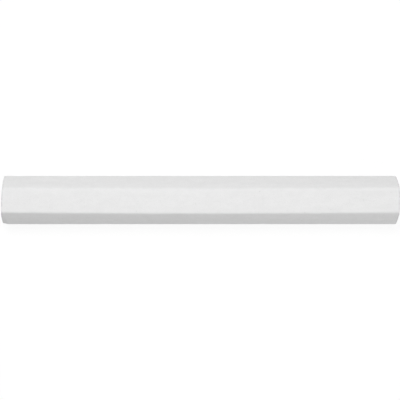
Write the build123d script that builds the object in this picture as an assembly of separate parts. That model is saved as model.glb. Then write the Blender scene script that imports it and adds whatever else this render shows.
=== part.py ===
from build123d import *
import os
from math import cos, radians, tan

# A six-sided stick of white marking chalk, pressed as one piece and cut to length.
# It lies on one of its facets. The origin is the middle of that facet, +X runs along
# the stick and +Z points up, so the facet opposite the resting one faces +Z.
# All lengths are in millimetres and all angles in degrees.

# The section: a hexagon whose long edges are rounded
across_flats = 12.7
edge_radius = 0.7

# The length between the ends, measured along the middle of the stick
stick_length = 117.5

# Both ends were cut by a blade that stood a little off upright, so they are parallel:
# going up, each end face leans towards +X.
end_slant = 2.3
# The -X end is a little off square in plan too, and reaches further out on the -Y side.
left_end_lean = 1.4

# The edge round each end face is lightly broken. The break stays within this share of
# the smallest rounding that it runs into.
rim_radius = 0.25
rounding_share = 0.9

# The corner of the -X end on the -Y side is worn away: how far along the stick, how
# far in across it, and how round the wear is where it meets the end face
worn_length = 1.5
worn_depth = 0.45
worn_radius = 0.6

# The height of the middle, where the stick is widest, and half its width there: the
# hexagon's corners, half a sixth of a turn from its flats, less what their rounding takes
middle_height = across_flats / 2
corner_reach = middle_height / cos(radians(30))
rounding_loss = edge_radius / cos(radians(30)) - edge_radius
half_width = corner_reach - rounding_loss


def section():
    """The rounded hexagon across the middle of the stick, with a flat side down."""
    across_stick = Plane(origin=(0, 0, middle_height), x_dir=(0, 1, 0), z_dir=(1, 0, 0))
    hexagon = RegularPolygon(across_flats / 2, 6, major_radius=False)
    return across_stick * fillet(hexagon.vertices(), edge_radius)


def uncut_bar():
    """The pressed bar before it is cut, longer than the stick at both ends."""
    half_bar = stick_length / 2 + across_flats
    return extrude(section(), amount=half_bar, both=True)


def plan_outline():
    """The stick's outline from above, wider than the bar, so that only its ends cut."""
    half_length = stick_length / 2
    lean = tan(radians(left_end_lean))
    clear_side = half_width + worn_depth
    worn_side = half_width - worn_depth
    worn_start = (-half_length - worn_side * lean, -worn_side)
    worn_end = (worn_start[0] + 2 * worn_length, -clear_side)
    outline = Polyline(
        worn_start,
        worn_end,
        (half_length, -clear_side),
        (half_length, clear_side),
        (-half_length + clear_side * lean, clear_side),
        close=True,
    )
    face = make_face(outline)
    worn_corner = face.vertices().sort_by_distance(worn_start)[0]
    return Plane(origin=(0, 0, middle_height)) * fillet(worn_corner, worn_radius)


def cut_bar():
    """The bar cut along the slanted outline, with its end edges still sharp."""
    up_the_cut = Vector(tan(radians(end_slant)), 0, 1).normalized()
    between_cuts = extrude(plan_outline(), amount=across_flats, dir=up_the_cut, both=True)
    return uncut_bar() & between_cuts


def chalk_stick():
    """The finished stick: the cut bar with the edges round its two ends broken."""
    stick = cut_bar()
    rims = ShapeList()
    for end_x in (-stick_length / 2, stick_length / 2):
        end_face = stick.faces().sort_by_distance((end_x, 0, middle_height))[0]
        rims += end_face.edges()
    smallest_rounding = min(edge_radius, worn_radius, 2 * worn_depth)
    return fillet(rims, min(rim_radius, rounding_share * smallest_rounding))


os.makedirs("parts", exist_ok=True)
export_step(chalk_stick(), "parts/chalk_stick.step")
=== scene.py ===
from math import cos, hypot, radians, sin, tan

import bmesh
import bpy
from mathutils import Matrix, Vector


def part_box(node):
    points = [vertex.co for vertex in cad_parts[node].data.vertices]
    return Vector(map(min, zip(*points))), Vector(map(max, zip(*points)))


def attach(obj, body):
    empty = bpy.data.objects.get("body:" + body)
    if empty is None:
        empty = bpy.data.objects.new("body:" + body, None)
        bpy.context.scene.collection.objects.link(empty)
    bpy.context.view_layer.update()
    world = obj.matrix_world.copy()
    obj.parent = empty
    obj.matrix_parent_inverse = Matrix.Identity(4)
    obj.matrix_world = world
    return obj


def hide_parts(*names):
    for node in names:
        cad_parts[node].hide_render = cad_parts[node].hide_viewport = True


# A six-sided stick of pressed white chalk, lying on one facet. +X runs along the stick
# and +Z up. Lengths are in metres, so sizes are written as so many mm.
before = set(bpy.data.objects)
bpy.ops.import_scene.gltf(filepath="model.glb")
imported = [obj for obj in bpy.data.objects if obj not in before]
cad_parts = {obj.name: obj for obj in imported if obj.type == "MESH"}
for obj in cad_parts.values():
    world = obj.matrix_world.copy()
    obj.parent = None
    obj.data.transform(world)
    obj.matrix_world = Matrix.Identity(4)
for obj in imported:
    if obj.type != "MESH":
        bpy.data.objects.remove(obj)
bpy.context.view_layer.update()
mm = 0.001

# The section, measured on the frame. The half angle is the one that half a facet takes
# up round the middle, and the facet turns are the degrees from +Y towards +Z at which
# the facets face.
node_low, node_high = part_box("chalk_stick")
across_flats = node_high.z - node_low.z
half_width = (node_high.y - node_low.y) / 2
middle_height = across_flats / 2
middle = Vector((0, 0, middle_height))
half_angle = radians(30)
facet_turns = range(30, 360, 60)
facet_width = across_flats * tan(half_angle)

# The length between the ends at the middle height, and how the -X end and the +X end were
# cut: both slant towards +X going up, and the first also leans out on its -Y side
stick_length = 117.5 * mm
half_length = stick_length / 2
end_slants = {-1: radians(3.0), 1: radians(2.3)}
end_leans = {-1: radians(2.2), 1: 0}

# Roundings: each long edge by the degrees that its direction turns from +Y towards +Z,
# and the edge round each end face
edge_radii = {
    0: 0.7 * mm,
    60: 0.45 * mm,
    120: 0.7 * mm,
    180: 0.7 * mm,
    240: 0.8 * mm,
    300: 0.7 * mm,
}
rim_radius = 0.15 * mm

# The mesh: the distances between its lines along the stick and across its facets and
# ends, how many faces go round a rounding, the profile that makes it an arc, and how
# many spans divide the length first
step_along = 0.2 * mm
step_across = 0.37 * mm
edge_segments = 6
rim_segments = 3
round_profile = 0.5
spans = 6

# A face that is turned less than this from facing along the stick belongs to an end
end_tilt = radians(30)

# The worn corner of the -X end on the -Y side: how far the wear reaches along the stick,
# and up and down from its widest line, how much of the side and of the end face it took,
# and how far round it is softened, how much at a time and how often
worn_length = 1.5 * mm
worn_rise = 4.5 * mm
worn_depth = 0.3 * mm
worn_back = 0.3 * mm
worn_reach = 1.6 * mm
worn_softening = 0.5
worn_passes = 3

# What pressing and drying did to the shape: the ends and each facet but the resting one
# are crowned, and the upper half bows sideways towards -Y
crown_height = 0.15 * mm
sway = 0.27 * mm

# The uneven surface. Waves stand out from it, grain and a few pits sink into it, the
# edges have crumbled, and the ends are torn by the cut. The crumbs' texture is bright
# and of high contrast, so that only its darkest spots sink in. The tears sink in where
# their texture is under its level, and stand out where it is over it.
wave_height = 0.03 * mm
wave_size = 4 * mm
grain_depth = 0.04 * mm
grain_size = 0.7 * mm
pit_depth = 0.04 * mm
pit_spacing = 7 * mm
pit_radius = 0.4 * mm
crumb_depth = 0.06 * mm
crumb_size = 0.7 * mm
crumb_contrast = 4
crumb_brightness = 1.9
tear_depth = 0.08 * mm
tear_size = 0.6 * mm
tear_level = 0.7

# How far from an edge the surface crumbles and is lighter, partly from loose powder and
# partly as a painted highlight, which is also how high above the floor it is raised in full,
# how far from an end it is torn, and how far from the edge round an end painted shade reaches
soft_reach = 0.9 * mm
end_reach = 0.4 * mm
rim_shade_reach = 0.5 * mm

# The greys of the chalk: where it dried last and first, the painted shade in its pores and
# pinholes, its edges lighter from loose powder and a painted highlight, and the painted rim shade
damp_grey = 0.85
dry_grey = 0.90
pore_shade_grey = 0.80
hole_shade_grey = 0.72
powder_and_highlight_grey = 0.90
rim_shade_grey = 0.72

# Its shine, which is next to none: the roughness where it is damp and where it is dry
chalk_specular = 0.3
damp_roughness = 0.86
dry_roughness = 0.96

# The values that a noise mostly keeps between, its middle, and the values at which the
# painted shade in a pore starts and is full
noise_low = 0.3
noise_high = 0.7
noise_middle = 0.5
pore_shade_start = 0.5
pore_shade_full = 0.2

# How many times smaller the patches of painted shade round the rims are than those of the lighter edges
rim_shade_finer = 3

# The camera looks straight down. Its height is above the stick's middle height, and the
# width of what it sees is measured at that height.
camera_height = 411 * mm
view_width = 119.82 * mm
view_centre = Vector((0.10 * mm, 0.01 * mm, middle_height))

# The floor's size in metres, and the grey that it lights the stick with. Where it is
# seen, it has the grey that the stick's shadow falls on, and a glow that makes it white:
# less of it under the stick than past the reach of the lamps.
floor_size = 4
floor_grey = 0.8
shadow_grey = 0.12
near_glow = 0.90
far_glow = 0.96
lamp_reach = 0.9

# How bright the world is, and each lamp's place and size in metres and power in watts
world_light = 0.246
lamps = {
    "key_lamp": ((-0.05, 0.20, 0.50), 0.25, 1.91),
    "fill_lamp": ((0.15, -0.35, 0.25), 0.20, 0.424),
}


def across(turn):
    """The direction across the stick that is so many degrees from +Y towards +Z."""
    return Vector((0, cos(radians(turn)), sin(radians(turn))))


def facet_depths(point):
    """How deep a point lies under each of the six facets."""
    return [middle_height - (point - middle).dot(across(turn)) for turn in facet_turns]


def end_depth(point, side):
    """How deep a point lies behind the end face on one side."""
    slanted = (point.z - middle_height) * tan(end_slants[side])
    leaning = point.y * tan(end_leans[side])
    return half_length - side * (point.x - slanted - leaning)


def end_depths(point):
    """How deep a point lies behind each of the two end faces."""
    return [end_depth(point, side) for side in end_slants]


def edge_depth(depths):
    """The second smallest depth, which is nothing only where two faces meet in an edge."""
    return sorted(depths)[1]


def pick(kind, wanted):
    """In edit mode, selects only the vertices, edges or faces that are wanted."""
    bpy.ops.mesh.select_mode(type=kind)
    bpy.ops.mesh.select_all(action="DESELECT")
    mesh = bmesh.from_edit_mesh(bpy.context.edit_object.data)
    parts = {"VERT": mesh.verts, "EDGE": mesh.edges, "FACE": mesh.faces}[kind]
    for part in parts:
        if wanted(part):
            part.select_set(True)
    mesh.select_flush_mode()
    bmesh.update_edit_mesh(bpy.context.edit_object.data)


def centre_of(part):
    """The middle of an edge's or a face's corners."""
    return sum((corner.co for corner in part.verts), Vector()) / len(part.verts)


def is_end_face(face):
    """True for the one undivided face at each end."""
    return len(face.verts) > 4 and abs(face.normal.x) > cos(end_tilt)


def add_blank():
    """The sharp six-sided bar, flat side down, between two square ends."""
    bpy.ops.object.select_all(action="DESELECT")
    bpy.ops.mesh.primitive_cylinder_add(
        vertices=6,
        radius=facet_width,
        depth=stick_length,
        end_fill_type="NGON",
        location=middle,
        rotation=(0, radians(90), 0),
    )
    bpy.ops.object.transform_apply(location=True, rotation=True, scale=True)
    blank = bpy.context.object
    blank.name = "pressed_stick"
    blank.data.name = "pressed_stick"
    return blank


def round_long_edges():
    """Rounds each of the six long edges to its own radius."""
    for turn, radius in edge_radii.items():
        corner = middle + across(turn) * facet_width
        pick("EDGE", lambda edge: (centre_of(edge) - corner).length < radius)
        bpy.ops.mesh.bevel(
            offset=radius * tan(half_angle),
            offset_type="OFFSET",
            segments=edge_segments,
            profile=round_profile,
            affect="EDGES",
        )


def divide_facets():
    """Divides each facet into long strips."""
    strips = round(facet_width / step_across)
    pick("EDGE", lambda edge: facet_width / 2 < edge.calc_length() < facet_width)
    bpy.ops.mesh.subdivide(number_cuts=strips - 1)


def round_rims():
    """Breaks the edge round each end face."""
    pick("FACE", is_end_face)
    bpy.ops.mesh.region_to_loop()
    bpy.ops.mesh.bevel(
        offset=rim_radius,
        offset_type="OFFSET",
        segments=rim_segments,
        profile=round_profile,
        affect="EDGES",
    )


def divide_end(side):
    """Divides an end face into rings that shrink to one point."""
    centre = Vector((side * half_length, 0, middle_height))
    pick("FACE", lambda face: is_end_face(face) and face.normal.x * side > 0)
    for ring in range(round(middle_height / step_across), 1, -1):
        bpy.ops.mesh.extrude_region()
        smaller = (ring - 1) / ring
        bpy.ops.transform.resize(value=(1, smaller, smaller), center_override=centre)
    bpy.ops.mesh.extrude_region()
    bpy.ops.mesh.merge(type="CENTER")


def turn_end(side):
    """Turns an end and its rim out of square, by the slant and then by the lean."""
    slant = end_slants[side]
    lean = end_leans[side]
    centre = Vector((side * half_length, 0, middle_height))
    pick("VERT", lambda vertex: vertex.co.x * side > half_length - 2 * rim_radius)
    bpy.ops.transform.rotate(value=-slant, orient_axis="Y", center_override=centre)
    bpy.ops.transform.rotate(value=lean, orient_axis="Z", center_override=centre)


def divide_length():
    """Divides the stick lengthwise into short steps that turn from one end to the other."""
    steps = round(stick_length / spans / step_along)
    pick("EDGE", lambda edge: edge.calc_length() > stick_length / 2)
    bpy.ops.mesh.subdivide(number_cuts=spans - 1)
    pick("EDGE", lambda edge: edge.calc_length() > stick_length / spans / 2)
    bpy.ops.mesh.subdivide(number_cuts=steps - 1)


def shape_stick():
    """The plain stick as a fine, closed mesh."""
    stick = add_blank()
    bpy.ops.object.mode_set(mode="EDIT")
    round_long_edges()
    divide_facets()
    round_rims()
    for side in end_slants:
        divide_end(side)
        turn_end(side)
    divide_length()
    bpy.ops.object.mode_set(mode="OBJECT")
    bpy.ops.object.shade_smooth()
    return stick


def weigh(stick, name, weight):
    """A vertex group that holds each point by the weight that a function gives it."""
    group = stick.vertex_groups.new(name=name)
    for vertex in stick.data.vertices:
        amount = weight(vertex.co)
        if amount > 0:
            group.add([vertex.index], min(amount, 1), "REPLACE")


def mark(stick, name, weight):
    """An attribute for the materials with each point's weight by a function, from 0 to 1."""
    attribute = stick.data.attributes.new(name, "FLOAT", "POINT")
    for vertex, place in zip(stick.data.vertices, attribute.data):
        place.value = min(max(weight(vertex.co), 0), 1)


def clouds(name, size, octaves=1, contrast=1, brightness=1):
    """A soft noise texture whose blots are about so large."""
    texture = bpy.data.textures.new(name, "CLOUDS")
    texture.noise_scale = size
    texture.noise_depth = octaves
    texture.contrast = contrast
    texture.intensity = brightness
    texture.use_clamp = True
    return texture


def dimples(name, spacing, radius):
    """A texture of round dark spots of up to a radius, about so far apart."""
    texture = bpy.data.textures.new(name, "VORONOI")
    texture.noise_scale = spacing
    texture.noise_intensity = spacing / radius
    texture.use_clamp = True
    return texture


def displace(stick, height, group="", texture=None, level=0, direction="NORMAL"):
    """Moves the surface by a height, times a group's weight, times the texture less a level.

    It moves out along the surface's normal, or along the axis that direction names.
    """
    bpy.ops.object.modifier_add(type="DISPLACE")
    modifier = stick.modifiers[-1]
    modifier.strength = height
    modifier.mid_level = level
    modifier.direction = direction
    modifier.vertex_group = group
    modifier.texture = texture
    modifier.texture_coords = "LOCAL"
    bpy.ops.object.modifier_apply(modifier=modifier.name)


def worn_weight(point):
    """How far a point stands out past the worn surface, as a share of the wear's depth."""
    height = abs(point.z - middle_height)
    inside_facet = half_width + point.y - height * tan(half_angle)
    along = end_depth(point, -1) / worn_length
    return 1 - along - height / worn_rise - inside_facet / worn_depth


def crown_weight(point):
    """One on the ends and the middle of each facet off the floor, and nothing at the long edges."""
    reach = facet_width * cos(half_angle) / 2
    share = min(edge_depth(facet_depths(point)) / reach, 1)
    return (1 - (1 - share) ** 2) * off_the_floor(point)


def sway_weight(point):
    """One on the upper facet half-way along, falling to nothing at the ends and half-way down."""
    along = 1 - (point.x / half_length) ** 2
    return max(along, 0) * max(point.z / middle_height - 1, 0)


def edge_weight(point):
    """One on the long edges and rims, and nothing away from them."""
    return 1 - edge_depth(facet_depths(point) + end_depths(point)) / soft_reach


def end_weight(point):
    """One on the two end faces, falling to nothing a little way in."""
    return 1 - min(end_depths(point)) / end_reach


def rim_weight(point):
    """One on the edges round the two end faces, and nothing away from them."""
    return 1 - hypot(min(end_depths(point)), min(facet_depths(point))) / rim_shade_reach


def off_the_floor(point):
    """Nothing on the resting facet, and one a little above it."""
    return min(max(point.z / soft_reach, 0), 1)


def wear_corner(stick):
    """Rubs the corner of the -X end on the -Y side down at a slant, and softens the wear."""
    weigh(stick, "worn", worn_weight)
    displace(stick, worn_depth, group="worn", direction="Y")
    displace(stick, worn_back, group="worn", direction="X")
    corner = Vector((-half_length, -half_width, middle_height))
    bpy.ops.object.mode_set(mode="EDIT")
    pick("VERT", lambda vertex: (vertex.co - corner).length < worn_reach)
    bpy.ops.mesh.vertices_smooth(factor=worn_softening, repeat=worn_passes)
    bpy.ops.object.mode_set(mode="OBJECT")


def age_stick(stick):
    """The crowned facets, the sway and the uneven surface that the real stick has."""
    weigh(stick, "crown", crown_weight)
    weigh(stick, "sway", sway_weight)
    weigh(stick, "raised", off_the_floor)
    weigh(stick, "edges", edge_weight)
    weigh(stick, "ends", end_weight)
    waves = clouds("waves", wave_size)
    grain = clouds("grain", grain_size, octaves=3)
    pits = dimples("pits", pit_spacing, pit_radius)
    crumbs = clouds("crumbs", crumb_size, octaves=2, contrast=crumb_contrast, brightness=crumb_brightness)
    tears = clouds("tears", tear_size, octaves=3)
    displace(stick, crown_height, group="crown")
    displace(stick, -sway, group="sway", direction="Y")
    displace(stick, wave_height, group="raised", texture=waves)
    displace(stick, grain_depth, texture=grain, level=1)
    displace(stick, pit_depth, texture=pits, level=1)
    displace(stick, crumb_depth, group="edges", texture=crumbs, level=1)
    displace(stick, tear_depth, group="ends", texture=tears, level=tear_level)
    stick.vertex_groups.clear()


def feed(tree, socket, value):
    """Links an output to an input socket, or sets the socket to a plain value."""
    if isinstance(value, bpy.types.NodeSocket):
        tree.links.new(value, socket)
    else:
        socket.default_value = value


def add_node(tree, kind, label, values, **settings):
    """A labelled node with its settings, and its inputs fed by name or number."""
    node = tree.nodes.new("ShaderNode" + kind)
    node.label = label
    for name, setting in settings.items():
        setattr(node, name, setting)
    for key, value in values.items():
        feed(tree, node.inputs[key], value)
    return node


def add_math(tree, label, operation, *values):
    """The output of a Math node on up to three values."""
    return add_node(tree, "Math", label, dict(enumerate(values)), operation=operation).outputs[0]


def add_vector_math(tree, label, operation, values):
    """The vector that a Vector Math node puts out."""
    return add_node(tree, "VectorMath", label, values, operation=operation).outputs["Vector"]


def add_mix(tree, label, factor, first, second):
    """The output of a colour mix that goes from the first to the second as the factor grows."""
    values = {"Factor": factor, "A": first, "B": second}
    return add_node(tree, "Mix", label, values, data_type="RGBA").outputs["Result"]


def add_range(tree, label, value, start, end, low=0, high=1, smooth=False):
    """The output of a Map Range node that holds to its ends, in a line or smoothly."""
    values = {"Value": value, "From Min": start, "From Max": end, "To Min": low, "To Max": high}
    way = "SMOOTHSTEP" if smooth else "LINEAR"
    return add_node(tree, "MapRange", label, values, interpolation_type=way).outputs["Result"]


def add_noise(tree, label, vector, size, detail):
    """The output of a soft noise whose blots are about so large, from 0 to 1."""
    scale = add_math(tree, label + " scale", "DIVIDE", 1, size)
    values = {"Vector": vector, "Scale": scale, "Detail": detail}
    return add_node(tree, "TexNoise", label, values).outputs["Fac"]


def new_group(name, inputs, outputs):
    """A shader node group with number inputs beside its Vector, and number outputs."""
    group = bpy.data.node_groups.new(name, "ShaderNodeTree")
    group.interface.new_socket(name="Vector", in_out="INPUT", socket_type="NodeSocketVector")
    for socket in inputs:
        group.interface.new_socket(name=socket, in_out="INPUT", socket_type="NodeSocketFloat")
    for socket in outputs:
        group.interface.new_socket(name=socket, in_out="OUTPUT", socket_type="NodeSocketFloat")
    start = group.nodes.new("NodeGroupInput").outputs
    end = group.nodes.new("NodeGroupOutput").inputs
    return group, start, end


def powder_group():
    """Pressed powder: its fine relief, and the tone of the blotches in which it dried."""
    group, start, end = new_group("powder", ["Grain Size", "Blotch Size"], ["Relief", "Tone"])
    grain = add_noise(group, "grain", start["Vector"], start["Grain Size"], detail=3)
    blotch = add_noise(group, "blotch", start["Vector"], start["Blotch Size"], detail=4)
    feed(group, end["Relief"], grain)
    feed(group, end["Tone"], add_range(group, "tone", blotch, noise_low, noise_high))
    return group


def pinhole_group():
    """Ragged pinholes of up to a radius, left by air, with a mask that is 1 in their middle."""
    group, start, end = new_group("pinholes", ["Spacing", "Radius"], ["Hole"])
    ragged_scale = add_math(group, "ragged scale", "DIVIDE", 1, start["Radius"])
    ragged = {"Vector": start["Vector"], "Scale": ragged_scale}
    pull = add_node(group, "TexNoise", "ragged", ragged).outputs["Color"]
    no_pull = (noise_middle, noise_middle, noise_middle)
    centred = add_vector_math(group, "centred", "SUBTRACT", {0: pull, 1: no_pull})
    moved = add_vector_math(group, "by radius", "SCALE", {0: centred, "Scale": start["Radius"]})
    vector = add_vector_math(group, "bent", "ADD", {0: start["Vector"], 1: moved})
    scale = add_math(group, "cell scale", "DIVIDE", 1, start["Spacing"])
    cells = add_node(group, "TexVoronoi", "cells", {"Vector": vector, "Scale": scale})
    away = add_math(group, "distance away", "MULTIPLY", cells.outputs["Distance"], start["Spacing"])
    inside = add_math(group, "share of radius", "DIVIDE", away, start["Radius"])
    feed(group, end["Hole"], add_range(group, "hole", inside, 1, 0, smooth=True))
    return group


def patch_group():
    """Uneven patches of the places that a mask picks out: the lighter edges and the painted shade round
    the end rims.
    """
    group, start, end = new_group("patches", ["Touched", "Patch Size"], ["Marked"])
    patch = add_noise(group, "patch", start["Vector"], start["Patch Size"], detail=3)
    patchy = add_range(group, "patchy", patch, noise_low, noise_high)
    feed(group, end["Marked"], add_math(group, "marked", "MULTIPLY", patchy, start["Touched"]))
    return group


def add_group(tree, group, vector, values):
    """Places a node group in a material with its own values, and gives its outputs."""
    return add_node(tree, "Group", group.name, {"Vector": vector, **values}, node_tree=group).outputs


def add_marked(tree, groups, vector, attribute, size):
    """Where one of the mesh's marks shows, in patches of about a size."""
    picked = add_node(tree, "Attribute", attribute, {}, attribute_name=attribute).outputs["Fac"]
    values = {"Touched": picked, "Patch Size": size}
    return add_group(tree, groups["patches"], vector, values)["Marked"]


def grey(level):
    """A neutral colour."""
    return (level, level, level, 1)


def chalk_shader(name, groups, grain_height, hole_depth, powder, holes, patch_size, streaks):
    """A chalk material: powder with blotches, painted shade in its pores and pinholes, edges lighter from
    powder and a painted highlight, painted shade round the end rims, and faint streaks.
    """
    material = bpy.data.materials.new(name)
    material.use_nodes = True
    tree = material.node_tree
    place = add_node(tree, "TexCoord", "place", {}).outputs["Object"]
    centred = {"Vector": place, "Location": -middle}
    vector = add_node(tree, "Mapping", "centred", centred).outputs["Vector"]
    drawn = {"Vector": vector, "Scale": streaks}
    drawn_vector = add_node(tree, "Mapping", "drawn out", drawn).outputs["Vector"]

    # The powder as it is and drawn out into streaks, its holes, and the masks for the lighter edges
    # (powder and a painted highlight) and the painted shade round the end rims
    surface = add_group(tree, groups["powder"], vector, powder)
    drawn_surface = add_group(tree, groups["powder"], drawn_vector, powder)
    hole = add_group(tree, groups["pinholes"], vector, holes)["Hole"]
    powder_and_highlight = add_marked(tree, groups, vector, "edge_powder_and_highlight", patch_size)
    rim_shade = add_marked(tree, groups, vector, "rim", patch_size / rim_shade_finer)

    # Its colour and its shine. The dryness is the mean of the two tones.
    tone = add_math(tree, "both tones", "ADD", surface["Tone"], drawn_surface["Tone"])
    dryness = add_math(tree, "dryness", "MULTIPLY", tone, 1 / 2)
    pores = add_range(tree, "pores", surface["Relief"], pore_shade_start, pore_shade_full)
    color = add_mix(tree, "blotches", dryness, grey(damp_grey), grey(dry_grey))
    # Painted shade in the low points of the grain, where the bump also sinks the surface
    color = add_mix(tree, "painted pore shade", pores, color, grey(pore_shade_grey))
    # Lighter edges: partly loose powder, partly a painted highlight
    color = add_mix(tree, "edge powder and painted highlight", powder_and_highlight, color, grey(powder_and_highlight_grey))
    # Painted shade along the edges round the end faces
    color = add_mix(tree, "painted rim shade", rim_shade, color, grey(rim_shade_grey))
    # Painted shade in the pinholes, which the bump also sinks
    color = add_mix(tree, "painted hole shade", hole, color, grey(hole_shade_grey))
    roughness = add_range(tree, "roughness", dryness, 0, 1, damp_roughness, dry_roughness)

    # Its finest relief, whose height is in metres already, so the bump's distance is one
    relief = add_math(tree, "both reliefs", "ADD", surface["Relief"], drawn_surface["Relief"])
    raised = add_math(tree, "grain height", "MULTIPLY", relief, grain_height)
    sunk = add_math(tree, "hole depth", "MULTIPLY", hole, hole_depth)
    height = add_math(tree, "height", "SUBTRACT", raised, sunk)
    bump = add_node(tree, "Bump", "relief", {"Height": height, "Distance": 1})

    shader = tree.nodes["Principled BSDF"]
    shader.inputs["Specular IOR Level"].default_value = chalk_specular
    feed(tree, shader.inputs["Base Color"], color)
    feed(tree, shader.inputs["Roughness"], roughness)
    feed(tree, shader.inputs["Normal"], bump.outputs["Normal"])
    return material


def pressed_chalk(groups):
    """The pressed facets: fine and nearly even, with faint streaks along the stick."""
    return chalk_shader(
        "pressed_chalk",
        groups,
        grain_height=0.03 * mm,
        hole_depth=0.08 * mm,
        powder={"Grain Size": 0.2 * mm, "Blotch Size": 1.8 * mm},
        holes={"Spacing": 2.4 * mm, "Radius": 0.22 * mm},
        patch_size=2.5 * mm,
        streaks=(0.2, 1, 1),
    )


def cut_chalk(groups):
    """The cut ends: coarser and more open, with faint marks of the blade going down."""
    return chalk_shader(
        "cut_chalk",
        groups,
        grain_height=0.06 * mm,
        hole_depth=0.10 * mm,
        powder={"Grain Size": 0.3 * mm, "Blotch Size": 1.2 * mm},
        holes={"Spacing": 1.8 * mm, "Radius": 0.26 * mm},
        patch_size=1.5 * mm,
        streaks=(1, 1, 0.15),
    )


def finish_stick(stick):
    """Gives the facets the pressed finish, and the end faces the cut one."""
    groups = {"powder": powder_group(), "pinholes": pinhole_group(), "patches": patch_group()}
    stick.data.materials.append(pressed_chalk(groups))
    stick.data.materials.append(cut_chalk(groups))
    bpy.ops.object.mode_set(mode="EDIT")
    pick("FACE", lambda face: min(end_depths(centre_of(face))) < rim_radius / 2)
    stick.active_material_index = 1
    bpy.ops.object.material_slot_assign()
    bpy.ops.object.mode_set(mode="OBJECT")


def add_camera():
    """The camera above the stick, with the picture's top towards +Y."""
    data = bpy.data.cameras.new("camera")
    data.lens = data.sensor_width * camera_height / view_width
    camera = bpy.data.objects.new("camera", data)
    bpy.context.collection.objects.link(camera)
    camera.location = view_centre + Vector((0, 0, camera_height))
    bpy.context.scene.camera = camera


def add_seen(tree):
    """One for rays that show a background: from the camera, by reflection or through glass."""
    path = add_node(tree, "LightPath", "path", {}).outputs
    indirect = (path["Is Glossy Ray"], path["Is Transmission Ray"])
    either = add_math(tree, "by reflection or through", "MAXIMUM", *indirect)
    return add_math(tree, "seen", "MAXIMUM", path["Is Camera Ray"], either)


def add_floor():
    """The plain white floor. It glows white where it is seen, and its colour takes the shadow."""
    bpy.ops.object.select_all(action="DESELECT")
    bpy.ops.mesh.primitive_plane_add(size=floor_size)
    floor = bpy.context.object
    floor.name = "floor"
    material = bpy.data.materials.new("white_floor")
    material.use_nodes = True
    tree = material.node_tree
    seen = add_seen(tree)
    place = add_node(tree, "TexCoord", "place", {}).outputs["Object"]
    distance = add_node(tree, "VectorMath", "distance away", {0: place}, operation="LENGTH")
    away = distance.outputs["Value"]
    even = add_range(tree, "even white", away, 0, lamp_reach, near_glow, far_glow, smooth=True)
    glow = add_math(tree, "glow", "MULTIPLY", seen, even)
    color = add_mix(tree, "lit or seen", seen, grey(floor_grey), grey(shadow_grey))
    shader = tree.nodes["Principled BSDF"]
    shader.inputs["Roughness"].default_value = 1
    shader.inputs["Specular IOR Level"].default_value = 0
    shader.inputs["Emission Color"].default_value = grey(1)
    feed(tree, shader.inputs["Base Color"], color)
    feed(tree, shader.inputs["Emission Strength"], glow)
    floor.data.materials.append(material)


def add_world():
    """Even white light from all round, and plain white where the view goes past the floor."""
    world = bpy.data.worlds.new("studio")
    world.use_nodes = True
    bpy.context.scene.world = world
    tree = world.node_tree
    background = tree.nodes["Background"]
    background.inputs["Color"].default_value = grey(1)
    strength = add_range(tree, "lit or seen", add_seen(tree), 0, 1, world_light, 1)
    feed(tree, background.inputs["Strength"], strength)


def add_lamp(name, place, size, power):
    """A square soft lamp at a place, facing the stick's middle."""
    data = bpy.data.lights.new(name, "AREA")
    data.shape = "SQUARE"
    data.size = size
    data.energy = power
    lamp = bpy.data.objects.new(name, data)
    bpy.context.collection.objects.link(lamp)
    lamp.location = place
    lamp.rotation_euler = (middle - Vector(place)).to_track_quat("-Z", "Y").to_euler()


stick = shape_stick()
wear_corner(stick)
finish_stick(stick)
# Where the edges are lighter, partly from loose powder and partly as a painted highlight
mark(stick, "edge_powder_and_highlight", edge_weight)
# Where painted shade darkens the edges round the end faces
mark(stick, "rim", rim_weight)
age_stick(stick)
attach(stick, "root")
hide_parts("chalk_stick")

add_camera()
add_floor()
add_world()
for name, (place, size, power) in lamps.items():
    add_lamp(name, place, size, power)
bpy.context.scene.view_settings.view_transform = "Standard"
